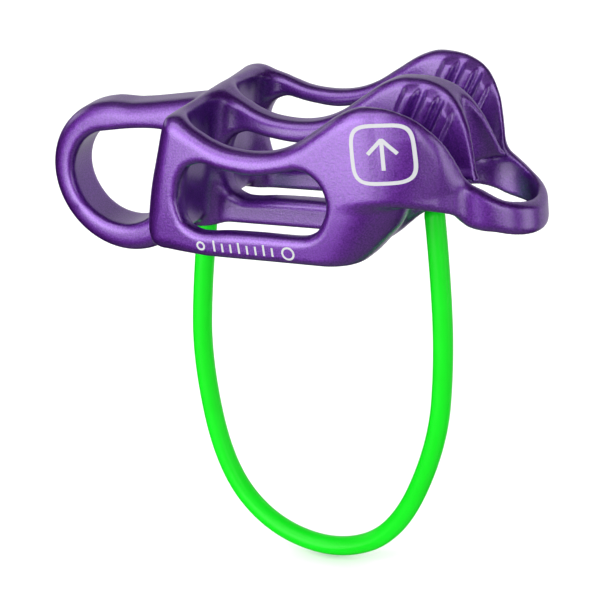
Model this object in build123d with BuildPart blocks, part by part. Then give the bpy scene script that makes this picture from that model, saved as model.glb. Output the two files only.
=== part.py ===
from build123d import *
from math import pi, radians, tan
import os

# Belay device: one hot-forged aluminium body and a plastic-coated wire keeper loop.
# Frame: +X runs from the guide ring to the nose, +Y across the two rope slots, +Z up.
# The origin is the centre of the round end of the guide ring. All sizes are in mm.

os.makedirs("parts", exist_ok=True)

# ---- walls and slots ---------------------------------------------------------------
HALF_WIDTH = 18.0          # centre plane to the outer face of an outer wall
OUTER_WALL = 3.6           # thickness of an outer wall
MID_WALL = 4.0             # thickness of the middle wall
SLOT_IN = MID_WALL / 2     # rope slot, inner side
SLOT_OUT = HALF_WIDTH - OUTER_WALL
BOTTOM_Z = -7.5            # flat underside of the walls
CREST_Z = 19.1             # top of the toothed humps

# ---- guide ring --------------------------------------------------------------------
RING_OUTER_R = 13.5
RING_CENTRE = (0.2, -0.5)
RING_THICK = 7.8
BOSS_R = 3.4               # boss round the keeper's hole beside the ring
BOSS_X = 15.0

# ---- nose and release hole ---------------------------------------------------------
NOSE_R = 8.65              # outside of the band round the release hole
NOSE_X = 67.15
RELEASE_R = 7.0
RELEASE_X = 67.1
RELEASE_TOP = 3.6          # top of the straight hole
SCOOP = [(68.0, 6.4, 2.0), (63.5, 0.6, 17.0)]   # finger scoop: X, radius, Z at each end

# ---- rope grooves ------------------------------------------------------------------
TOOTH_R = 1.1
TOOTH_RISE = 0.85          # how far a rib stands out of the groove wall
TOOTH_X = (54.6, 58.45, 62.1)   # X of each rib, 15 mm above the origin
TOOTH_SLOPE = 0.48         # the ribs run out in X by this much for each mm up

# ---- keeper loop -------------------------------------------------------------------
KEEPER_R = 1.7             # plastic jacket, outside
WIRE_R = 1.05              # wire rope inside the jacket
WIRE_GAP = 0.05            # all-round gap between wire and jacket
HOLE_R = KEEPER_R + 0.08   # blind holes in the forging
RING_END = (14.8, -8.1)    # X, Z where the loop starts to swing, beside the guide ring
NOSE_END = (57.0, -4.0)    # X, Z where the loop starts to swing, under the nose
HOLE_DEPTH = 10.1          # from the swing point up to the blind end
FERRULE_LENGTH = 4.0
END_GAP = 0.06

ROUTE = [RING_END, (12.4, -18.7), (10.1, -34.9), (12.1, -55.6), (20.1, -66.3),
         (33.1, -69.6), (45.2, -64.0), (54.2, -45.9), (56.7, -29.5), (57.2, -13.1),
         NOSE_END]

# ---- side outline of the walls, as X and Z -----------------------------------------
LEFT_EDGE = [(17.0, BOTTOM_Z), (14.9, -7.3), (13.2, -6.3), (12.7, -4.4), (12.8, -2.4),
             (13.1, 0.3), (14.5, 5.0), (16.4, 10.2), (17.9, 13.9), (18.9, 15.4), (20.3, 15.9)]
TOP_EDGE = [(20.3, 15.9), (21.9, 15.6), (23.6, 14.3), (25.4, 13.2), (27.2, 12.2),
            (30.2, 11.2), (34.6, 10.8), (38.6, 11.3), (42.3, 12.75), (46.0, 15.1),
            (49.7, 17.5), (52.8, 18.8), (55.5, CREST_Z), (58.3, 18.9), (60.9, 17.9),
            (62.6, 16.7), (63.9, 15.1), (65.3, 12.0), (66.2, 9.0), (67.0, 6.0),
            (67.5, 4.6), (68.4, 3.4), (69.2, 2.0)]
UNDER_EDGE = [(69.2, 2.0), (69.4, -0.4), (68.4, -2.0), (66.4, -1.9), (64.5, -1.1),
              (61.5, -1.0), (58.6, -1.9), (55.6, -3.3), (53.4, -5.0), (51.7, -6.4),
              (49.8, BOTTOM_Z)]

# Plan of the flare: half widths along X, on the +Y side.
PLAN_EDGE = [(46.0, HALF_WIDTH), (50.0, 17.9), (54.0, 17.4), (57.0, 16.7), (60.0, 15.6),
             (62.0, 14.6), (63.6, 13.4), (65.0, 11.8), (65.9, 10.6), (66.6, 9.6),
             (67.5, 8.6), (69.5, 7.4), (72.0, 6.4)]

# Plan of the leg under the flare; outside this line the leg is cut away.
LEG_EDGE = [(40.0, 20.2), (44.0, 19.0), (46.6, 17.6), (48.9, 16.0), (50.6, 14.5),
            (51.6, 13.0), (52.1, 11.2), (51.8, 9.2), (51.0, 7.2), (50.6, 5.6),
            (51.0, 4.2), (52.6, 3.4), (57.0, 3.2), (62.0, 3.2)]
LEG_SLOPE = 0.62           # the leg runs out in X by this much for each mm up
CREASE = [(40.0, 0.2), (46.0, 1.4), (50.0, 2.2), (54.8, 2.8), (58.0, 2.7),
          (61.0, 1.9), (63.6, 0.8), (65.5, -0.8), (67.0, -2.2), (70.0, -3.1), (74.0, -4.6)]

# Groove floor: where the rope bends from the slot over towards the nose.
FLOOR = [(47.4, BOTTOM_Z - 2), (47.6, -4.6), (48.6, -1.0), (50.4, 2.0), (53.2, 4.2),
         (57.0, 5.0), (61.5, 4.4), (66.0, 3.6), (71.0, 2.4), (80.0, -0.6)]

# One rope slot in side view: it leans with the wall at the ring end.
SLOT_SIDE = [(15.8, BOTTOM_Z - 3), (48.0, BOTTOM_Z - 3), (48.0, 30.0), (23.7, 30.0)]
SLOT_CORNER = 4.5

# Nose band in side view, tipped forwards.
BAND_SIDE = [(62.0, 3.9), (67.0, 3.9), (75.9, -0.24), (75.9, -5.4), (62.0, -0.33)]

WINDOW = [(20.0, 1.6), (20.3, 3.5), (21.0, 5.5), (22.4, 7.5), (24.3, 8.4), (25.8, 8.5),
          (29.2, 7.7), (34.4, 7.1), (39.2, 7.8), (42.6, 8.4), (45.1, 7.2), (46.4, 4.9),
          (46.5, 2.3), (45.0, -0.8), (43.4, -2.2), (41.0, -2.8), (34.0, -2.8),
          (28.6, -2.9), (24.9, -3.2), (22.6, -3.0), (20.7, -1.6)]

RING_HOLE = [(-0.45, 7.95), (-3.7, 7.3), (-6.4, 5.5), (-8.25, 2.7), (-8.9, -0.5),
             (-8.25, -3.7), (-6.4, -6.5), (-3.7, -8.3), (-0.45, -8.95), (2.4, -8.5),
             (4.9, -7.3), (7.6, -5.4), (9.6, -2.6), (10.9, 1.4), (11.9, 5.2), (11.9, 7.5),
             (10.0, 8.6), (5.0, 8.6)]
RING_ARM = [(0.2, 12.6), (4.5, 12.7), (12.5, 13.9), (17.0, 14.4), (20.5, 14.4),
            (18.6, -6.6), (16.0, -7.4), (8.0, -8.6), (0.2, -8.0)]


# ====================================================================================
# Forged body
# ====================================================================================
with BuildPart() as blank:
    # Side outline across the full width.
    with BuildSketch(Plane.XZ):
        with BuildLine():
            Spline(*LEFT_EDGE)
            Spline(*TOP_EDGE)
            Spline(*UNDER_EDGE)
            Line(UNDER_EDGE[-1], LEFT_EDGE[0])
        make_face()
    extrude(amount=HALF_WIDTH, both=True)
    # Plan outline: the walls draw together over the hump.
    with BuildSketch(Plane.XY.offset(-30)):
        with BuildLine():
            half = Spline(*PLAN_EDGE)
            mirror(half, about=Plane.XZ)
            Line(half @ 1, (PLAN_EDGE[-1][0], -PLAN_EDGE[-1][1]))
            Polyline((PLAN_EDGE[0][0], HALF_WIDTH), (0, HALF_WIDTH), (0, -HALF_WIDTH),
                     (PLAN_EDGE[0][0], -HALF_WIDTH))
        make_face()
    extrude(amount=70, mode=Mode.INTERSECT)

with BuildPart() as leg_relief:
    # Everything below the crease and outside the leg, on both sides.
    with BuildSketch(Plane.XY.offset(BOTTOM_Z - 3)):
        with BuildLine():
            leg = Spline(*[(x - 3 * LEG_SLOPE, y) for x, y in LEG_EDGE])
            Polyline(leg @ 1, (90, LEG_EDGE[-1][1]), (90, 30), (leg.position_at(0).X, 30),
                     leg @ 0)
        make_face()
    extrude(amount=16, dir=(LEG_SLOPE, 0, 1))
    mirror(about=Plane.XZ)
    with BuildSketch(Plane.XZ):
        with BuildLine():
            under = Spline(*CREASE)
            Polyline(under @ 1, (95, CREASE[-1][1]), (95, -20), (40, -20), under @ 0)
        make_face()
    extrude(amount=40, both=True, mode=Mode.INTERSECT)

with BuildPart() as slot_cut:
    # Straight part of one rope slot, leaning with the ring-end wall.
    with BuildSketch(Plane.XZ.offset(-SLOT_IN)):
        with BuildLine():
            Polyline(*SLOT_SIDE, close=True)
        make_face()
    extrude(amount=-(SLOT_OUT - SLOT_IN))
    fillet(slot_cut.edges().filter_by(Axis.Y, reverse=True).group_by(Axis.X)[0], SLOT_CORNER)

# V groove beyond the slot: narrow at the floor, wide at the crest.
GROOVE = [  # X, inner Y at floor and crest, outer Y at floor and crest
    (46.0, 2.0, 2.0, 14.4, 14.4),
    (50.0, 2.9, 2.0, 13.1, 14.4),
    (54.0, 4.1, 2.1, 11.1, 14.4),
    (57.0, 4.8, 2.1, 10.1, 14.5),
    (60.0, 5.5, 2.1, 9.2, 14.6),
    (63.6, 6.0, 2.1, 8.2, 14.3),
    (66.5, 6.3, 2.0, 7.4, 13.0),
    (72.0, 6.6, 1.9, 7.4, 11.0),
]
GROOVE_LOW, GROOVE_HIGH = 3.0, 18.0
with BuildPart() as groove_cut:
    for x, y1, y2, y3, y4 in reversed(GROOVE):
        k = (y2 - y1) / (GROOVE_HIGH - GROOVE_LOW)
        m = (y4 - y3) / (GROOVE_HIGH - GROOVE_LOW)
        low, high = GROOVE_LOW - 14, GROOVE_HIGH + 6
        with BuildSketch(Plane.YZ.offset(x)):
            with BuildLine():
                Polyline((y1, low), (y1, GROOVE_LOW), (y2 + k * 6, high),
                         (y4 + m * 6, high), (y3, GROOVE_LOW), (y3, low), close=True)
            make_face()
    loft(ruled=True)
    with BuildSketch(Plane.XZ):
        with BuildLine():
            floor = Spline(*FLOOR)
            Polyline(floor @ 1, (80, 40), (40, 40), (40, FLOOR[0][1]), floor @ 0)
        make_face()
    extrude(amount=30, both=True, mode=Mode.INTERSECT)


def wall_at(x, z, floor, crest):
    """Y of a groove wall; floor and crest are columns of GROOVE."""
    a, b = next((a, b) for a, b in zip(GROOVE, GROOVE[1:]) if x <= b[0])
    t = (x - a[0]) / (b[0] - a[0])
    s = (z - GROOVE_LOW) / (GROOVE_HIGH - GROOVE_LOW)
    low, high = (a[k] + (b[k] - a[k]) * t for k in (floor, crest))
    return low + (high - low) * s


with BuildPart() as teeth:
    # Gripping ribs down both sides of each groove, clipped to the blank.
    for tooth in TOOTH_X:
        for floor, crest, out in ((1, 2, 1), (3, 4, -1)):
            tips = []
            for z in (5.0, 17.0):
                x = tooth + TOOTH_SLOPE * (z - 15)
                y = wall_at(x, z, floor, crest) + out * (TOOTH_RISE - TOOTH_R)
                tips.append(Vector(x, y, z))
            with BuildSketch(Plane(tips[0], z_dir=tips[1] - tips[0])):
                Circle(TOOTH_R)
            extrude(amount=(tips[1] - tips[0]).length)
    add(blank.part, mode=Mode.INTERSECT)

with BuildPart() as nose_band:
    with Locations((NOSE_X, 0, 0)):
        Cylinder(NOSE_R, 30)
    with BuildSketch(Plane.XZ):
        with BuildLine():
            Polyline(*BAND_SIDE, close=True)
        make_face()
    extrude(amount=20, both=True, mode=Mode.INTERSECT)

with BuildPart() as forged_body:
    add(blank.part)
    add(leg_relief.part, mode=Mode.SUBTRACT)
    add(slot_cut.part, mode=Mode.SUBTRACT)
    add(mirror(slot_cut.part, about=Plane.XZ, mode=Mode.PRIVATE), mode=Mode.SUBTRACT)
    add(groove_cut.part, mode=Mode.SUBTRACT)
    add(mirror(groove_cut.part, about=Plane.XZ, mode=Mode.PRIVATE), mode=Mode.SUBTRACT)
    add(teeth.part)
    add(mirror(teeth.part, about=Plane.XZ, mode=Mode.PRIVATE))
    # Guide ring and its two arms.
    with BuildSketch(Plane.XZ):
        with Locations(RING_CENTRE):
            Circle(RING_OUTER_R)
        with BuildLine():
            Polyline(*RING_ARM, close=True)
        make_face()
    extrude(amount=RING_THICK / 2, both=True)
    with BuildSketch(Plane.XZ):
        with BuildLine():
            Spline(*RING_HOLE, periodic=True)
        make_face()
    extrude(amount=RING_THICK, both=True, mode=Mode.SUBTRACT)
    # Boss round the keeper's hole beside the ring.
    with Locations((BOSS_X, 0, BOTTOM_Z)):
        Cylinder(BOSS_R, 11, align=(Align.CENTER, Align.CENTER, Align.MIN))
    # One window goes through all three walls.
    with BuildSketch(Plane.XZ):
        with BuildLine():
            Spline(*WINDOW, periodic=True)
        make_face()
    extrude(amount=HALF_WIDTH + 2, both=True, mode=Mode.SUBTRACT)
    # Release hole through the nose, and the finger scoop above it.
    add(nose_band.part)
    with Locations((RELEASE_X, 0, RELEASE_TOP)):
        Cylinder(RELEASE_R, 20, align=(Align.CENTER, Align.CENTER, Align.MAX),
                 mode=Mode.SUBTRACT)
    for x, radius, z in SCOOP:
        with BuildSketch(Plane.XY.offset(z)):
            with Locations((x, 0)):
                Circle(radius)
    loft(ruled=True, mode=Mode.SUBTRACT)
    # Blind holes for the two ends of the keeper.
    for x, z in (RING_END, NOSE_END):
        with Locations((x, 0, z + HOLE_DEPTH)):
            Cylinder(HOLE_R, HOLE_DEPTH + 6,
                     align=(Align.CENTER, Align.CENTER, Align.MAX), mode=Mode.SUBTRACT)

forged_body.part.label = "forged_body"

# ====================================================================================
# Keeper loop: steel wire rope in a plastic jacket, anchored in two blind holes
# ====================================================================================
corners = [Vector(x, 0, z) for x, z in ROUTE]
runs = [b - a for a, b in zip(corners, corners[1:])]
radii = []
for before, after in zip(runs, runs[1:]):
    turn = radians(before.get_angle(after))
    radii.append(0.45 * min(before.length, after.length) / tan(turn / 2))
print("keeper corner radii", [round(r, 1) for r in radii])

with BuildLine() as route:
    FilletPolyline(*corners, radius=radii)
keeper_path = route.wires()[0]
print("keeper length", round(keeper_path.length, 1))

ends = [(corners[0], runs[0].normalized()), (corners[-1], -runs[-1].normalized())]

with BuildPart() as keeper_jacket:
    with BuildSketch(Plane(corners[0], x_dir=(0, 1, 0), z_dir=runs[0])):
        Circle(KEEPER_R)
    sweep(path=keeper_path)
    for point, _ in ends:
        with Locations(point):
            Sphere(KEEPER_R)
    # Bore for the wire, open at both ends.
    with BuildSketch(Plane(corners[0], x_dir=(0, 1, 0), z_dir=runs[0])):
        Circle(WIRE_R + WIRE_GAP)
    sweep(path=keeper_path, mode=Mode.SUBTRACT)
    for point, along in ends:
        with BuildSketch(Plane(point, x_dir=(0, 1, 0), z_dir=-along)):
            Circle(WIRE_R + WIRE_GAP)
        extrude(amount=2 * KEEPER_R, mode=Mode.SUBTRACT)
keeper_jacket.part.label = "keeper_jacket"

with BuildPart() as keeper_wire:
    with BuildSketch(Plane(corners[0], x_dir=(0, 1, 0), z_dir=runs[0])):
        Circle(WIRE_R)
    sweep(path=keeper_path)
keeper_wire.part.label = "keeper_wire"
print("wire volume", round(keeper_wire.part.volume, 1),
      "section times length", round(pi * WIRE_R ** 2 * keeper_path.length, 1))

# Fixed ends: a short length of the same coated wire, then its crimped ferrule.
fixed_ends = []
for name, (x, z) in (("ring_end", RING_END), ("nose_end", NOSE_END)):
    low = z + KEEPER_R + END_GAP
    high = z + HOLE_DEPTH - FERRULE_LENGTH
    with BuildPart() as tail:
        with Locations((x, 0, low)):
            Cylinder(KEEPER_R, high - low, align=(Align.CENTER, Align.CENTER, Align.MIN))
    tail.part.label = f"{name}_tail"
    with BuildPart() as ferrule:
        with Locations((x, 0, high)):
            Cylinder(HOLE_R, FERRULE_LENGTH, align=(Align.CENTER, Align.CENTER, Align.MIN))
        chamfer(ferrule.edges().group_by(Axis.Z)[-1], 0.4)
    ferrule.part.label = f"{name}_ferrule"
    fixed_ends += [tail, ferrule]

# ====================================================================================
# Files
# ====================================================================================
for piece in (forged_body, keeper_jacket, keeper_wire, *fixed_ends):
    export_step(piece.part, f"parts/{piece.part.label}.step")
    print(piece.part.label, len(piece.solids()), "solid", round(piece.part.volume, 1), "mm3")
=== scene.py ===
import bpy, math
import numpy as np
import openvdb
from mathutils import Matrix, Vector


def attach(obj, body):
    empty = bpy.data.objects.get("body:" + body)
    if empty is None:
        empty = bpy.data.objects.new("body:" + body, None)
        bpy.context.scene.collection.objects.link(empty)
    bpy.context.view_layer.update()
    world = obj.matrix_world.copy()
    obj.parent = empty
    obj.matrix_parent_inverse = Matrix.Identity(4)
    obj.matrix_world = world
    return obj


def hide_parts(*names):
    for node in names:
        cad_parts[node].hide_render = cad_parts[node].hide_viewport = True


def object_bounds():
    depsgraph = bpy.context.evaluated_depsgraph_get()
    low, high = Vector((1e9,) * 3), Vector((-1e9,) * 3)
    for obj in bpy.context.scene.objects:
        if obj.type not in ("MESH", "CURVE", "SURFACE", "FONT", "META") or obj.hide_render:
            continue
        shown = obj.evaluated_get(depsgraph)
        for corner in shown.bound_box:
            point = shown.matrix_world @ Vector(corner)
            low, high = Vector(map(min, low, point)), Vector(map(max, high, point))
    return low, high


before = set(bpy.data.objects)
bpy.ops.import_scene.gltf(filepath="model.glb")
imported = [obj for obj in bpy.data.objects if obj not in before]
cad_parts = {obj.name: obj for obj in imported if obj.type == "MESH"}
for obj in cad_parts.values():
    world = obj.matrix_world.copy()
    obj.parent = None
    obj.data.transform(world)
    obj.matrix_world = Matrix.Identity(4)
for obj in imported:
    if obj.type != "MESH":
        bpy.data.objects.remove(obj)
CAD_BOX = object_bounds()
scene = bpy.context.scene
MM = 0.001

# The camera looks back along this direction, in degrees, from this place in mm.
VIEW_AZIMUTH = -61.205       # from +X towards +Y
VIEW_ELEVATION = 22.584
VIEW_ROLL = -6.116
VIEW_PLACE = (181.6, -272.9, 107.52)
LENS = 118.4              # mm, on a sensor 36 mm wide


# ---------------------------------------------------------------------------------
# Camera
# ---------------------------------------------------------------------------------
def make_camera():
    cam = bpy.data.cameras.new("camera")
    cam.sensor_width = 36.0
    cam.lens = LENS
    cam.clip_start, cam.clip_end = 0.01, 20.0
    ob = bpy.data.objects.new("camera", cam)
    scene.collection.objects.link(ob)
    a, e, r = (math.radians(v) for v in (VIEW_AZIMUTH, VIEW_ELEVATION, VIEW_ROLL))
    back = Vector((math.cos(e) * math.cos(a), math.cos(e) * math.sin(a), math.sin(e)))
    level = Vector((-math.sin(a), math.cos(a), 0))
    upright = back.cross(level)
    right = level * math.cos(r) + upright * math.sin(r)
    m = Matrix((right, back.cross(right), back)).transposed().to_4x4()
    m.translation = Vector(VIEW_PLACE) * MM
    ob.matrix_world = m
    scene.camera = ob


make_camera()


# ---------------------------------------------------------------------------------
# Node-tree helpers
# ---------------------------------------------------------------------------------
class Nodes:
    """A material and short ways to add and join its nodes."""

    def __init__(self, name):
        self.mat = bpy.data.materials.new(name)
        self.mat.use_nodes = True
        self.t = self.mat.node_tree
        self.bsdf = self.t.nodes["Principled BSDF"]

    def add(self, kind, **inputs):
        n = self.t.nodes.new(kind)
        for k, v in inputs.items():
            key = k.replace("_", " ")
            if key in n.inputs:
                if hasattr(v, "is_output"):
                    self.t.links.new(v, n.inputs[key])
                else:
                    n.inputs[key].default_value = v
            else:
                setattr(n, k, v)
        return n

    def link(self, a, b):
        self.t.links.new(a, b)

    def ramp(self, fac, stops):
        n = self.t.nodes.new("ShaderNodeValToRGB")
        self.link(fac, n.inputs["Fac"])
        e = n.color_ramp.elements
        while len(e) < len(stops):
            e.new(0.5)
        for el, (p, c) in zip(e, stops):
            el.position = p
            el.color = c if len(c) == 4 else (*c, 1)
        return n.outputs["Color"]


# ---------------------------------------------------------------------------------
# Keeper cord
# ---------------------------------------------------------------------------------
ROUTE = [(14.8, -8.1), (12.4, -18.7), (10.1, -34.9), (12.1, -55.6), (20.1, -66.3),
         (33.1, -69.6), (45.2, -64.0), (54.2, -45.9), (56.7, -29.5), (57.2, -13.1),
         (57.0, -4.0)]
CORD_R = 1.7


def route_points():
    """Points in metres along one smooth curve through the route."""
    cu = bpy.data.curves.new("route", "CURVE")
    cu.dimensions = "3D"
    sp = cu.splines.new("NURBS")
    sp.points.add(len(ROUTE) - 1)
    for p, (x, z) in zip(sp.points, ROUTE):
        p.co = (x * MM, 0, z * MM, 1)
    sp.order_u = 3
    sp.use_endpoint_u = True
    sp.resolution_u = 16
    cu.resolution_u = 16
    ob = bpy.data.objects.new("route", cu)
    scene.collection.objects.link(ob)
    dg = bpy.context.evaluated_depsgraph_get()
    me = bpy.data.meshes.new_from_object(ob.evaluated_get(dg))
    pts = [v.co.copy() for v in me.vertices]
    bpy.data.objects.remove(ob)
    return pts


def tube(name, pts, radius, sides=24):
    """A closed tube in the XZ plane with round ends; returns the mesh object."""
    tang = []
    for i in range(len(pts)):
        a, b = pts[max(i - 1, 0)], pts[min(i + 1, len(pts) - 1)]
        tang.append((b - a).normalized())
    rings = [(p, t, radius) for p, t in zip(pts, tang)]
    head, tail = [], []
    for k in range(1, 7):
        s = math.radians(90 * k / 7)
        head.insert(0, (pts[0] - tang[0] * radius * math.sin(s), tang[0], radius * math.cos(s)))
        tail.append((pts[-1] + tang[-1] * radius * math.sin(s), tang[-1], radius * math.cos(s)))
    rings = head + rings + tail
    verts, faces = [], []
    side = Vector((0, 1, 0))
    for c, t, r in rings:
        n = side.cross(t).normalized()
        for j in range(sides):
            a = 2 * math.pi * j / sides
            verts.append(c + (side * math.cos(a) + n * math.sin(a)) * r)
    for i in range(len(rings) - 1):
        for j in range(sides):
            k = (j + 1) % sides
            faces.append((i * sides + j, i * sides + k, (i + 1) * sides + k, (i + 1) * sides + j))
    verts.append(pts[0] - tang[0] * radius)
    verts.append(pts[-1] + tang[-1] * radius)
    first, last = len(verts) - 2, len(verts) - 1
    base = (len(rings) - 1) * sides
    for j in range(sides):
        k = (j + 1) % sides
        faces.append((first, k, j))
        faces.append((last, base + j, base + k))
    me = bpy.data.meshes.new(name)
    me.from_pydata(verts, [], faces)
    me.update()
    ob = bpy.data.objects.new(name, me)
    scene.collection.objects.link(ob)
    me.polygons.foreach_set("use_smooth", [True] * len(me.polygons))
    return ob


path = route_points()
keeper = tube("keeper_loop", path, CORD_R * MM)
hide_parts("keeper_jacket", "keeper_wire")
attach(keeper, "keeper")


# ---------------------------------------------------------------------------------
# Forged body as a distance field, in millimetres
# ---------------------------------------------------------------------------------
def smin(a, b, k):
    """The lesser of two fields, blended over a width k: a rounded union."""
    h = np.maximum(k - np.abs(a - b), 0.0) / k
    return np.minimum(a, b) - h * h * k * 0.25


def smax(a, b, k):
    """The greater of two fields, blended over a width k: a rounded overlap."""
    return -smin(-a, -b, k)


def smooth(points, closed=False, per=12):
    """Catmull-Rom curve through the points."""
    p = np.array(points, float)
    if closed:
        p = np.vstack([p[-1:], p, p[:2]])
    else:
        p = np.vstack([2 * p[0] - p[1], p, 2 * p[-1] - p[-2]])
    out = []
    t = np.arange(per)[:, None] / per
    for i in range(1, len(p) - 2):
        a, b, c, d = p[i - 1:i + 3]
        out.append(0.5 * (2 * b + (c - a) * t + (2 * a - 5 * b + 4 * c - d) * t * t
                          + (3 * b - a - 3 * c + d) * t ** 3))
    if not closed:
        out.append(p[-2:-1])
    return np.vstack(out)


class Plate:
    """Signed distance to a closed outline, held on a fine grid; negative inside."""

    STEP = 0.2

    def __init__(self, outline, low=(-16, -18), high=(82, 24)):
        self.low = np.array(low, float)
        n = [int((h - l) / self.STEP) + 1 for l, h in zip(low, high)]
        u = low[0] + np.arange(n[0]) * self.STEP
        v = low[1] + np.arange(n[1]) * self.STEP
        u, v = u[:, None], v[None, :]
        best = np.full(n, 1e9)
        inside = np.zeros(n, bool)
        nxt = np.roll(outline, -1, 0)
        for (x1, y1), (x2, y2) in zip(outline, nxt):
            dx, dy = x2 - x1, y2 - y1
            t = np.clip(((u - x1) * dx + (v - y1) * dy) / max(dx * dx + dy * dy, 1e-12), 0, 1)
            best = np.minimum(best, (u - x1 - t * dx) ** 2 + (v - y1 - t * dy) ** 2)
            if y1 != y2:
                hit = ((y1 > v) != (y2 > v)) & (u < (x2 - x1) * (v - y1) / (y2 - y1) + x1)
                inside ^= hit
        self.f = np.sqrt(best) * np.where(inside, -1, 1)

    def __call__(self, u, v):
        a = (u - self.low[0]) / self.STEP
        b = (v - self.low[1]) / self.STEP
        a = np.clip(a, 0, self.f.shape[0] - 1.001)
        b = np.clip(b, 0, self.f.shape[1] - 1.001)
        i, j = a.astype(int), b.astype(int)
        a, b = a - i, b - j
        f = self.f
        return ((f[i, j] * (1 - a) + f[i + 1, j] * a) * (1 - b)
                + (f[i, j + 1] * (1 - a) + f[i + 1, j + 1] * a) * b)


def rise(v):
    """A ramp from 0 to 1, held at both ends."""
    return np.clip(v, 0, 1)


def along(points):
    """A smooth function of X through the points."""
    c = smooth(points)
    return lambda x: np.interp(x, c[:, 0], c[:, 1])


# Side outline of the outer and middle walls, as X and Z.
SIDE = [(17.0, -7.48), (14.7, -7.35), (13.1, -6.4), (12.7, -4.6), (12.75, -2.9), (13.3, 0.3),
        (14.7, 5.0), (16.6, 10.2), (18.0, 13.9), (18.9, 15.4), (20.3, 15.9), (21.9, 15.6),
        (23.6, 14.3), (25.4, 13.2), (27.2, 12.2), (30.2, 11.2), (34.6, 10.8), (38.6, 11.3),
        (42.3, 12.75), (46.0, 15.1), (49.7, 17.5), (52.8, 18.8), (55.4, 19.0), (58.2, 18.75),
        (60.9, 17.8), (62.5, 16.6), (63.8, 15.0), (64.6, 13.5), (65.3, 12.0), (65.75, 10.5),
        (66.2, 9.0), (66.6, 7.5), (67.0, 6.0), (67.5, 4.6), (68.4, 3.4), (69.2, 2.0),
        (69.3, -0.4), (68.4, -2.0), (66.4, -1.9), (64.5, -1.1), (61.5, -1.0), (58.6, -1.9),
        (55.6, -3.3), (53.4, -5.0), (51.7, -6.4), (49.8, -7.4), (46, -7.5), (34, -7.48),
        (22, -7.5)]
# Half width of the body along X.
PLAN = [(0, 18.0), (30, 18.0), (46.0, 18.0), (50.0, 17.98), (52.5, 17.85), (55.0, 17.4),
        (57.5, 16.6), (60.0, 15.4), (62.0, 14.1), (63.6, 12.9), (65.0, 11.3), (65.9, 10.1),
        (66.6, 9.2), (67.5, 8.4), (69.5, 7.4), (72.0, 6.4)]
# The window through the three walls, as X and Z.
WINDOW = [(20.0, 1.6), (20.3, 3.5), (21.0, 5.5), (22.4, 7.5), (24.3, 8.4), (25.8, 8.5),
          (29.2, 7.7), (34.4, 7.1), (39.2, 7.8), (42.6, 8.4), (45.1, 7.2), (46.4, 4.9),
          (46.5, 2.3), (45.0, -0.8), (43.4, -2.2), (41.0, -2.8), (34.0, -2.8), (28.6, -2.9),
          (24.9, -3.2), (22.6, -3.0), (20.7, -1.6)]
# Half width of the leg under the flare, and the crease between them, as X and Z.
LEG = [(26, 21.0), (40.0, 20.2), (44.0, 19.0), (46.6, 17.6), (48.9, 16.0), (50.6, 14.5),
       (51.6, 13.0), (52.1, 11.2), (51.8, 9.2), (51.0, 7.2), (50.6, 5.6), (51.0, 4.0),
       (52.6, 3.2), (57.0, 3.0), (62.0, 3.0), (90.0, 3.0)]
CREASE = [(30.0, -3.0), (40.0, 0.2), (46.0, 1.4), (50.0, 2.2), (54.8, 2.8), (58.0, 2.7),
          (61.0, 1.9), (63.6, 0.8), (65.5, -0.8), (67.0, -2.2), (70.0, -3.1), (78.0, -6.0)]
# Floor of the grooves, where the rope bends over towards the nose.
FLOOR = [(47.4, -12), (47.6, -4.6), (48.6, -1.0), (50.4, 2.0), (53.2, 4.2), (57.0, 5.0),
         (61.5, 4.4), (66.0, 3.6), (71.0, 2.4), (81.0, -0.6)]
# The hole and the upper edge of the guide ring, as X and Z.
RING_IN = [(-0.45, 7.95), (-3.7, 7.3), (-6.4, 5.5), (-8.25, 2.7), (-8.9, -0.5),
           (-8.25, -3.7), (-6.4, -6.5), (-3.7, -8.3), (-0.45, -8.95), (2.4, -8.5),
           (4.9, -7.3), (7.6, -5.4), (9.6, -2.6), (10.9, 1.4), (11.9, 5.2), (11.9, 7.5),
           (10.0, 8.6), (5.0, 8.6)]
RING_TOP = [(-0.6, 12.6), (1.2, 12.65), (4.5, 12.9), (7.5, 13.2), (12.5, 13.85), (17.0, 14.4),
            (20.5, 14.4), (22.0, 13.0)]
# Groove walls: distance from the centre plane, at the floor and at the crest.
IN_FLOOR = [(30, 2.0), (44, 2.0), (47, 2.15), (50, 2.9), (54, 4.1), (60, 5.5), (66.5, 6.5),
            (72, 7.2), (80, 7.6)]
IN_CREST = [(30, 2.0), (44, 2.0), (50, 2.0), (54, 2.1), (60, 2.15), (63.6, 2.1), (66.5, 2.0),
            (80, 1.8)]
OUT_FLOOR = [(30, 14.4), (44, 14.4), (47, 14.2), (50, 13.1), (54, 11.1), (57, 10.1), (60, 9.2),
             (63.6, 8.2), (66.5, 7.3), (72, 7.3), (80, 7.4)]
OUT_CREST = [(30, 14.4), (44, 14.4), (50, 14.4), (57, 14.5), (60, 14.6), (63.6, 14.3),
             (66.5, 13.0), (72, 11), (80, 9)]
# How far the leg's outline runs out in X, by Z.
LEG_RUN = [(-12, -2.4), (-8.5, -0.2), (-7, 0.7), (-5, 2.1), (-2, 3.9), (1, 5.5), (3, 6.3),
           (9, 8.5)]

TOOTH_X = (54.6, 58.45, 62.1)      # X of each rib, at Z = TOOTH_Z
TOOTH_Z, TOOTH_SLOPE = 15, 0.48
RING_X, RING_Z, RING_R = 0.15, -0.5, 13.42
RING_HALF = 3.8                    # half thickness of the guide ring
BOSS_X, BOSS_R = 15.0, 3.4
NOSE_X, NOSE_R = 67.15, 8.62
RELEASE_X, RELEASE_R, RELEASE_TOP = 67.1, 7.0, 4.0
PIN_R = 1.78                       # radius of the keeper's blind holes
PINS = ((ROUTE[0][0], 2.0), (ROUTE[-1][0], 6.1))   # X and top of each hole


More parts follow.
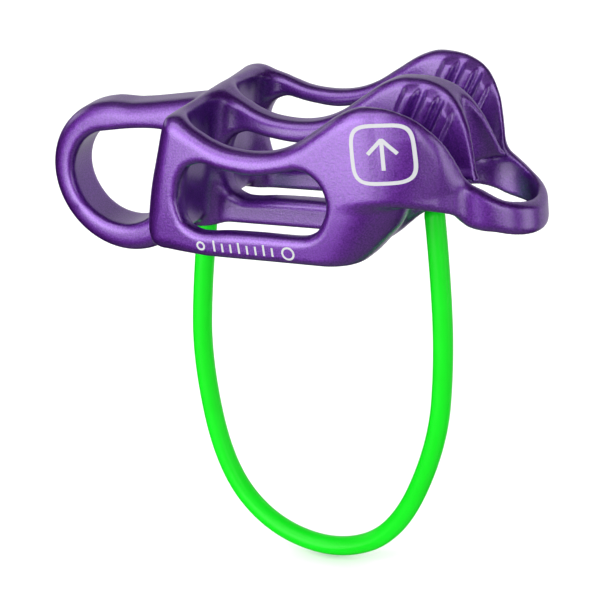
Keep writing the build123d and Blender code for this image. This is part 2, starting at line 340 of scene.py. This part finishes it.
class Body:
    """The forging as a field in millimetres: negative inside, positive outside."""

    def __init__(self):
        self.side = Plate(smooth(SIDE, True))
        edge = smooth(PLAN)
        self.plan = Plate(np.vstack([edge, edge[::-1] * (1, -1), [(-20, -18), (-20, 18)]]),
                          low=(-22, -2), high=(82, 24))
        self.window = Plate(smooth(WINDOW, True))
        self.leg = Plate(np.vstack([smooth(LEG), [(110, 3.0), (110, -30), (-30, -30),
                                                 (-30, 21.0)]]), low=(16, -2), high=(84, 24))
        self.floor = Plate(np.vstack([smooth(FLOOR), [(81, 23), (10, 23), (10, -16),
                                                     (47.4, -16)]]))
        self.ring_in = Plate(smooth(RING_IN, True))
        self.ring_arm = Plate(np.vstack([smooth(RING_TOP), [(20.5, 4), (18.6, -6.6),
                                                           (16, -7.4), (8, -8.6), (-0.6, -8)]]))
        self.crease, self.leg_run = along(CREASE), along(LEG_RUN)
        self.walls = [along(c) for c in (IN_FLOOR, IN_CREST, OUT_FLOOR, OUT_CREST)]

    @staticmethod
    def teeth(x, z, side):
        """Gripping ribs on the groove walls: how far they stand out of the wall."""
        out = 0.0
        for x0 in TOOTH_X:
            u = np.abs(x - x0 - TOOTH_SLOPE * (z - TOOTH_Z)) * 0.9
            h = rise((1.5 - u) / 0.95)
            out = out + h * h * (3 - 2 * h)
        return out * rise((-side - 0.7) / 1.3) * rise((z - 4.5) / 3.0)

    def side_view(self, x, z, far):
        """The walls' side outline; the far wall stands a little nearer the ring and lower."""
        near_ring = rise((26 - x) / 6)
        lift = far * ((0.09 + 0.16 * near_ring) * np.maximum(z - 10.7, 0) - 0.2)
        shift = 0.9 - 0.4 * rise((x - 50) / 8) + 0.8 * near_ring
        return self.side(x + far * shift, z + lift)

    def blank(self, x, y, z, side):
        """The walls as one block, with the flare and the leg under its crease."""
        high = rise((z - 4) / 10)
        plan = self.plan(x - 1.8 * high * rise((x - 56) / 6), y)
        plan = (plan + 0.03 + 0.5 * np.clip((30 - x) / 14, 0, 1.2) ** 2
                + 0.4 * np.clip((8 - z) / 12, 0, 1.3) ** 2)
        d = smax(side, plan, 2.2 + 1.5 * rise((24 - x) / 8) - 0.7 * rise(-z / 4))
        leg = self.leg(x - self.leg_run(z), y) * 0.85
        flare = (self.crease(x) - z) * 0.95
        return smax(d, smin(leg, flare, 1.2), 1.8)

    def guide_ring(self, x, y, z):
        disc = np.hypot(x - RING_X, z - RING_Z) - RING_R
        ring = smin(disc, self.ring_arm(x, z), 0.6)
        ring = smax(ring, y - RING_HALF, 2.7)
        return smax(ring, -self.ring_in(x, z), 1.5)

    def slot(self, x, y, z, side):
        """One rope slot and the ribbed groove that it opens into."""
        s = np.clip((z - 3.0) / 15.0, 0, 1.2)
        in_low, in_high, out_low, out_high = [w(x) for w in self.walls]
        rib = self.teeth(x, z, side)
        y_in = in_low * (1 - s) + in_high * s + rib
        y_out = out_low * (1 - s) + out_high * s - rib
        end = (15.9 + 0.195 * (z + 10) - x) * 0.98
        cut = smax(y_in - y, y - y_out, 0.2) * 0.96
        cut = smax(cut, end, 4.6)
        return smax(cut, self.floor(x, z), 3.0)

    @staticmethod
    def nose_band(x, y, z):
        """The thin band round the release hole, tipped forwards."""
        band = np.hypot(x - NOSE_X, y) - NOSE_R
        band = smax(band, (z - 2.5 + 0.465 * (x - 70)) * 0.907, 0.9)
        band = smax(band, (-3.25 - 0.365 * (x - 70) - z) * 0.94, 1.8)
        return smax(band, smax(59.0 - x, z - 3.9, 1.0), 0.8)

    @staticmethod
    def release(d, x, y, z):
        """Cuts the release hole and the finger scoop that opens the middle wall above it."""
        axis, radius = 68.6 - 0.3 * z, 7.0 - 0.385 * z
        scoop = smax((np.hypot(x - axis, y) - radius) * 0.93, 1.8 - z, 0.6)
        hole = np.maximum(np.hypot(x - RELEASE_X, y) - RELEASE_R, z - RELEASE_TOP)
        rim = 0.8 + 1.4 * rise((y - 4) / 2) * rise((z - 2) / 2) * rise((69 - x) / 3)
        return smax(smax(d, -scoop, 0.8), -hole, rim)

    def __call__(self, x, y, z):
        far = rise((y - 4) / 10)
        side = self.side_view(x, z, far)
        y = np.abs(y)
        d = smin(self.blank(x, y, z, side), self.guide_ring(x, y, z), 1.8)
        fine = np.maximum(rise((x - 56) / 8), rise(-z / 5))
        d = smax(d, -self.slot(x, y, z, side), 1.5 - 0.8 * fine)
        # Boss round the keeper's hole at the ring end, in a notch.
        boss = smax(np.hypot(x - BOSS_X, y) - BOSS_R, np.maximum(z - 3.5, -7.45 - z), 1.0)
        notch = smax(smax(z + 6.3, x - 20, 0.5), smax(4.4 - y, y - 13.4, 1.0), 1.5)
        d = smin(smax(d, -notch, 1.4), boss, 1.2)
        d = smin(d, self.nose_band(x, y, z), 2.6)
        window = self.window(x + 0.75 * far, z - 0.9 * far * rise((z - 2) / 5))
        d = smax(d, -window, 1.5)
        d = self.release(d, x, y, z)
        for pin_x, top in PINS:
            pin = np.maximum(np.hypot(x - pin_x, y) - PIN_R, z - top)
            d = smax(d, -pin, 0.35)
        return d


VOXEL = 0.37


def solid_from(field, low, high, step):
    """The field's zero surface as points in mm and quads, drawn onto it in three steps."""
    n = [int((h - l) / step) + 1 for l, h in zip(low, high)]
    x, y, z = (l + np.arange(k) * step for l, k in zip(low, n))
    full = np.empty(n, np.float32)
    for i in range(0, n[0], 24):
        full[i:i + 24] = field(x[i:i + 24, None, None], y[None, :, None], z[None, None, :])
    grid = openvdb.FloatGrid()
    grid.copyFromArray(full)
    pts, quads = grid.convertToQuads(0.0)
    pts = np.array(pts, float) * step + low
    e = 0.05
    for _ in range(3):
        f = field(*pts.T)
        g = np.stack([(field(*(pts + o).T) - field(*(pts - o).T)) / (2 * e)
                      for o in np.eye(3) * e], 1)
        move = f[:, None] * g / np.maximum((g * g).sum(1), 0.05)[:, None]
        pts -= np.clip(move, -0.15, 0.15)
    return pts, np.array(quads)


def object_from(name, pts, quads):
    me = bpy.data.meshes.new(name)
    me.from_pydata((pts * MM).tolist(), [], quads[:, ::-1].tolist())
    me.update()
    me.validate()
    me.polygons.foreach_set("use_smooth", np.ones(len(me.polygons), bool))
    ob = bpy.data.objects.new(name, me)
    scene.collection.objects.link(ob)
    return ob


field = Body()
pts, quads = solid_from(field, (-14.4, -18.9, -15.0), (77.0, 18.9, 20.0), VOXEL)
body = object_from("forged_shell", pts, quads)
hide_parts("forged_body")
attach(body, "body")


# ---------------------------------------------------------------------------------
# Printed marks on the near outer wall: plain generic signs, no text
# ---------------------------------------------------------------------------------
def wall_y(x, z):
    """Y of the near outer wall at X and Z."""
    low, high = np.full_like(x, -19.0), np.full_like(x, -14.6)
    for _ in range(30):
        mid = (low + high) / 2
        out = field(x, mid, z) > 0
        low, high = np.where(out, mid, low), np.where(out, high, mid)
    return (low + high) / 2


def printed(name, strokes, width):
    """A thin closed sheet that follows the wall under each stroke, in X and Z."""
    verts, faces = [], []
    for line, closed in strokes:
        p = np.array(line, float)
        if closed:
            p = np.vstack([p, p[:1]])
        step = np.hypot(*np.diff(p, axis=0).T)
        at = np.concatenate([[0], np.cumsum(step)])
        n = max(2, int(at[-1] / 0.3))
        t = np.linspace(0, at[-1], n + 1)
        c = np.stack([np.interp(t, at, p[:, 0]), np.interp(t, at, p[:, 1])], 1)
        if closed:
            c = c[:-1]
            d = np.roll(c, -1, 0) - np.roll(c, 1, 0)
        else:
            d = np.gradient(c, axis=0)
        d /= np.hypot(*d.T)[:, None]
        side = np.stack([-d[:, 1], d[:, 0]], 1) * width / 2
        start = len(verts)
        for a, b in ((c + side, 0.02), (c - side, 0.02), (c - side, -0.1), (c + side, -0.1)):
            y = wall_y(a[:, 0], a[:, 1]) - b
            verts += [(u * MM, v * MM, w * MM) for u, v, w in zip(a[:, 0], y, a[:, 1])]
        m = len(c)
        for i in range(m if closed else m - 1):
            j = (i + 1) % m
            for k in range(4):
                q = (k + 1) % 4
                faces.append((start + k * m + i, start + q * m + i,
                              start + q * m + j, start + k * m + j))
        if not closed:
            faces.append(tuple(start + k * m for k in (3, 2, 1, 0)))
            faces.append(tuple(start + k * m + m - 1 for k in range(4)))
    me = bpy.data.meshes.new(name)
    me.from_pydata(verts, [], faces)
    me.update()
    ob = bpy.data.objects.new(name, me)
    scene.collection.objects.link(ob)
    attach(ob, "body")
    return ob


def ring(cx, cz, r, n=24, power=1.0):
    """A closed stroke: a circle, or a rounded square at a power of 0.5."""
    a = np.arange(n) * 2 * np.pi / n
    return [(cx + r * np.sign(np.cos(t)) * abs(np.cos(t)) ** power,
             cz + r * np.sign(np.sin(t)) * abs(np.sin(t)) ** power) for t in a], True


SIGN_X, SIGN_Z = 56.9, 11.9
frame_mark = printed("side_sign", [
    ring(SIGN_X, SIGN_Z, 4.6, 96, 0.5),
    ([(SIGN_X - 2.2, SIGN_Z + 0.1), (SIGN_X, SIGN_Z + 2.4), (SIGN_X + 2.2, SIGN_Z + 0.1)],
     False),
    ([(SIGN_X, SIGN_Z - 2.5), (SIGN_X, SIGN_Z + 2.05)], False)], 0.6)
ticks = [([(26.0 + 1.5 * i, -6.1), (26.0 + 1.5 * i, -4.6 if i % 3 else -4.2)], False)
         for i in range(8)]
scale_mark = printed("side_scale", [ring(23.5, -5.35, 0.65)] + ticks
                     + [ring(39.3, -5.35, 1.0)], 0.34)


# ---------------------------------------------------------------------------------
# Materials
# ---------------------------------------------------------------------------------
def anodised():
    m = Nodes("purple_anodised")
    b = m.bsdf
    co = m.add("ShaderNodeTexCoord").outputs["Object"]
    grain = m.add("ShaderNodeTexNoise", Vector=co, Scale=3600.0, Detail=2.0, Roughness=0.6)
    colour = m.ramp(grain.outputs["Fac"], [(0.36, (0.135, 0.010, 0.35)),
                                           (0.66, (0.255, 0.034, 0.56))])
    m.link(colour, b.inputs["Base Color"])
    b.inputs["Metallic"].default_value = 1.0
    rough = m.ramp(grain.outputs["Fac"], [(0.3, (0.46,) * 3), (0.7, (0.56,) * 3)])
    m.link(rough, b.inputs["Roughness"])
    b.inputs["Coat Weight"].default_value = 1.0
    b.inputs["Coat Roughness"].default_value = 0.27
    b.inputs["Coat IOR"].default_value = 1.95
    bump = m.add("ShaderNodeBump", Strength=0.6, Distance=0.00004,
                 Height=grain.outputs["Fac"])
    m.link(bump.outputs["Normal"], b.inputs["Normal"])
    m.link(bump.outputs["Normal"], b.inputs["Coat Normal"])
    return m.mat


def plastic():
    m = Nodes("green_plastic")
    b = m.bsdf
    co = m.add("ShaderNodeTexCoord").outputs["Object"]
    n = m.add("ShaderNodeTexNoise", Vector=co, Scale=120.0, Detail=2.0)
    m.link(m.ramp(n.outputs["Fac"], [(0.3, (0.0, 0.46, 0.004)), (0.7, (0.0, 0.50, 0.006))]),
           b.inputs["Base Color"])
    b.inputs["Roughness"].default_value = 0.30
    b.inputs["Specular IOR Level"].default_value = 0.22
    return m.mat


def steel(name, colour, roughness):
    m = Nodes(name)
    b = m.bsdf
    co = m.add("ShaderNodeTexCoord").outputs["Object"]
    n = m.add("ShaderNodeTexNoise", Vector=co, Scale=900.0, Detail=3.0)
    m.link(m.ramp(n.outputs["Fac"], [(0.3, tuple(c * 0.8 for c in colour)), (0.7, colour)]),
           b.inputs["Base Color"])
    b.inputs["Metallic"].default_value = 1.0
    b.inputs["Roughness"].default_value = roughness
    return m.mat


purple, green = anodised(), plastic()
metal = steel("crimped_metal", (0.66, 0.66, 0.68), 0.35)
ink = Nodes("pale_ink")
ink.link(ink.ramp(ink.add("ShaderNodeTexNoise", Scale=900.0).outputs["Fac"],
                  [(0.3, (0.34, 0.34, 0.36)), (0.7, (0.38, 0.38, 0.40))]),
         ink.bsdf.inputs["Base Color"])
ink.bsdf.inputs["Roughness"].default_value = 0.5
for mark in (frame_mark, scale_mark):
    mark.data.materials.append(ink.mat)
body.data.materials.append(purple)
keeper.data.materials.append(green)
for name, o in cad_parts.items():
    mat = green if name.endswith("_tail") else metal
    if name.startswith("forged"):
        mat = purple
    for s in o.material_slots:
        s.material = mat


# ---------------------------------------------------------------------------------
# Stage and light
# ---------------------------------------------------------------------------------
def stage():
    floor_z = CAD_BOX[0][2] - 0.0005
    me = bpy.data.meshes.new("floor")
    half = 3.0
    corners = ((-half, -half), (half, -half), (half, half), (-half, half))
    me.from_pydata([(x, y, floor_z) for x, y in corners], [], [(0, 1, 2, 3)])
    ob = bpy.data.objects.new("floor", me)
    scene.collection.objects.link(ob)
    m = Nodes("floor_paper")
    n = m.add("ShaderNodeTexNoise", Scale=30.0)
    m.link(m.ramp(n.outputs["Fac"], [(0.3, (0.86,) * 3), (0.7, (0.88,) * 3)]),
           m.bsdf.inputs["Base Color"])
    m.bsdf.inputs["Roughness"].default_value = 0.9
    me.materials.append(m.mat)
    ob.visible_glossy = False
    ob.visible_shadow = False


def softbox(name, azimuth, elevation, distance, size, radiance):
    """An area light facing the body; azimuth runs from -Y towards +X, in degrees."""
    la = bpy.data.lights.new(name, "AREA")
    la.shape = "RECTANGLE"
    la.size, la.size_y = size
    la.energy = radiance * math.pi * size[0] * size[1]
    ob = bpy.data.objects.new(name, la)
    scene.collection.objects.link(ob)
    a, e = math.radians(azimuth), math.radians(elevation)
    way = Vector((math.sin(a) * math.cos(e), -math.cos(a) * math.cos(e), math.sin(e)))
    ob.location = Vector((0.032, 0, 0)) + way * distance
    ob.rotation_euler = (-way).to_track_quat("-Z", "Y").to_euler()
    ob.visible_camera = False


stage()
world = bpy.data.worlds.new("world")
scene.world = world
world.use_nodes = True
world.node_tree.nodes["Background"].inputs[0].default_value = (1, 1, 1, 1)
world.node_tree.nodes["Background"].inputs[1].default_value = 1.15
world.cycles_visibility.glossy = False
softbox("key", -13, 21, 0.45, (0.52, 0.78), 1.8)
softbox("key_centre", -17, -4, 0.44, (0.34, 0.30), 1.6)
softbox("key_right", 52, -6, 0.5, (0.20, 0.30), 2.0)
softbox("left_strip", -96, 19, 0.8, (0.60, 0.22), 1.3)
softbox("right_strip", 97, -12, 0.8, (0.34, 0.50), 1.7)
softbox("right_fill", 62, -10, 1.2, (1.5, 2.2), 0.07)
softbox("top_fill", -15, 74, 1.2, (2.0, 1.4), 0.2)
softbox("under_fill", 20, -74, 1.2, (2.0, 1.4), 0.2)
softbox("behind", 180, 0, 1.2, (3.0, 2.4), 0.6)
scene.view_settings.view_transform = "Standard"
